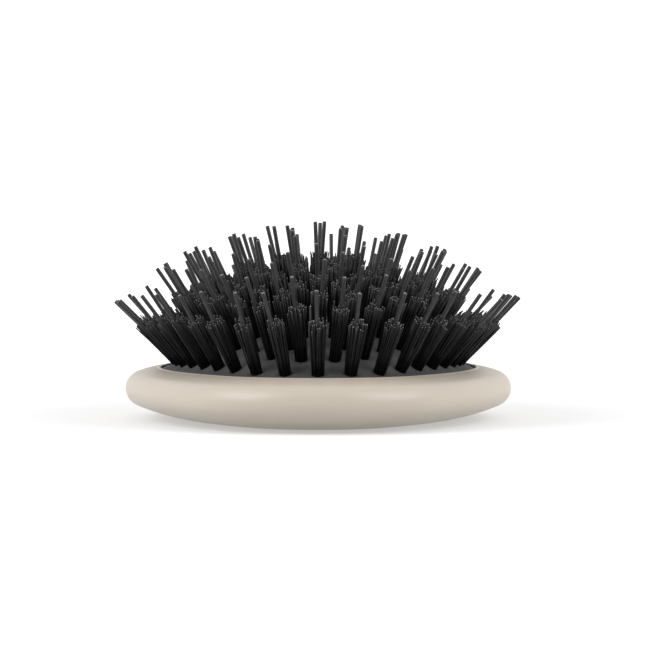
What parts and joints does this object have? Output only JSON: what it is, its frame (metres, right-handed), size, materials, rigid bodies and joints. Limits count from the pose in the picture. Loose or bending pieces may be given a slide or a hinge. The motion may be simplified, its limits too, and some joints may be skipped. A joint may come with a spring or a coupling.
{
  "type": "oval cushion hair brush",
  "caption": "Oval hair brush with a rounded rim, a domed rubber cushion that gives when pressed, rings and rows of bristle tufts with one longer pin each, and a round handle.",
  "frame": {"origin": "on the flat back, under the middle of the head", "axes": "+Z out of the back's opposite side, the way the bristles point; +Y along the handle, away from the head; X across the head"},
  "size_m": [0.0794, 0.2321, 0.0386],
  "materials": {
    "shell": "satin lacquer, beige",
    "ring": "matt",
    "rubber": "matt",
    "bristle": "satin",
    "pin": "satin nylon",
    "anchor": "matt"
  },
  "bodies": {
    "brush": {"body": "shell", "retaining_ring": "ring", "cushion": "rubber"},
    "middle_rows": {"tufts_6": "bristle", "pins_6": "pin", "anchors_6": "anchor"},
    "ring_1": {"tufts_1": "bristle", "pins_1": "pin", "anchors_1": "anchor"},
    "ring_2": {"tufts_2": "bristle", "pins_2": "pin", "anchors_2": "anchor"},
    "rows_3": {"tufts_3": "bristle", "pins_3": "pin", "anchors_3": "anchor"},
    "rows_4": {"tufts_4": "bristle", "pins_4": "pin", "anchors_4": "anchor"},
    "rows_5": {"tufts_5": "bristle", "pins_5": "pin", "anchors_5": "anchor"}
  },
  "joints": [
    {"name": "cushion_press", "type": "slide", "parent": "brush", "child": "middle_rows", "axis": [0, 0, -1], "range_m": [0, 0.005], "stiffness_N_per_m": 600, "deforming": ["cushion"]},
    {"name": "ring_1_press", "type": "slide", "parent": "brush", "child": "ring_1", "axis": [0, 0, -1], "range_m": [0, 0.00055], "stiffness_N_per_m": 400, "deforming": ["cushion"]},
    {"name": "ring_2_press", "type": "slide", "parent": "brush", "child": "ring_2", "axis": [0, 0, -1], "range_m": [0, 0.00205], "stiffness_N_per_m": 400, "deforming": ["cushion"]},
    {"name": "rows_3_press", "type": "slide", "parent": "brush", "child": "rows_3", "axis": [0, 0, -1], "range_m": [0, 0.00305], "stiffness_N_per_m": 400, "deforming": ["cushion"]},
    {"name": "rows_4_press", "type": "slide", "parent": "brush", "child": "rows_4", "axis": [0, 0, -1], "range_m": [0, 0.004], "stiffness_N_per_m": 400, "deforming": ["cushion"]},
    {"name": "rows_5_press", "type": "slide", "parent": "brush", "child": "rows_5", "axis": [0, 0, -1], "range_m": [0, 0.00455], "stiffness_N_per_m": 400, "deforming": ["cushion"]}
  ],
  "couplings": [
    {"joint": "ring_1_press", "follows": "cushion_press", "ratio": 0.11},
    {"joint": "ring_2_press", "follows": "cushion_press", "ratio": 0.41},
    {"joint": "rows_3_press", "follows": "cushion_press", "ratio": 0.61},
    {"joint": "rows_4_press", "follows": "cushion_press", "ratio": 0.8},
    {"joint": "rows_5_press", "follows": "cushion_press", "ratio": 0.91}
  ]
}
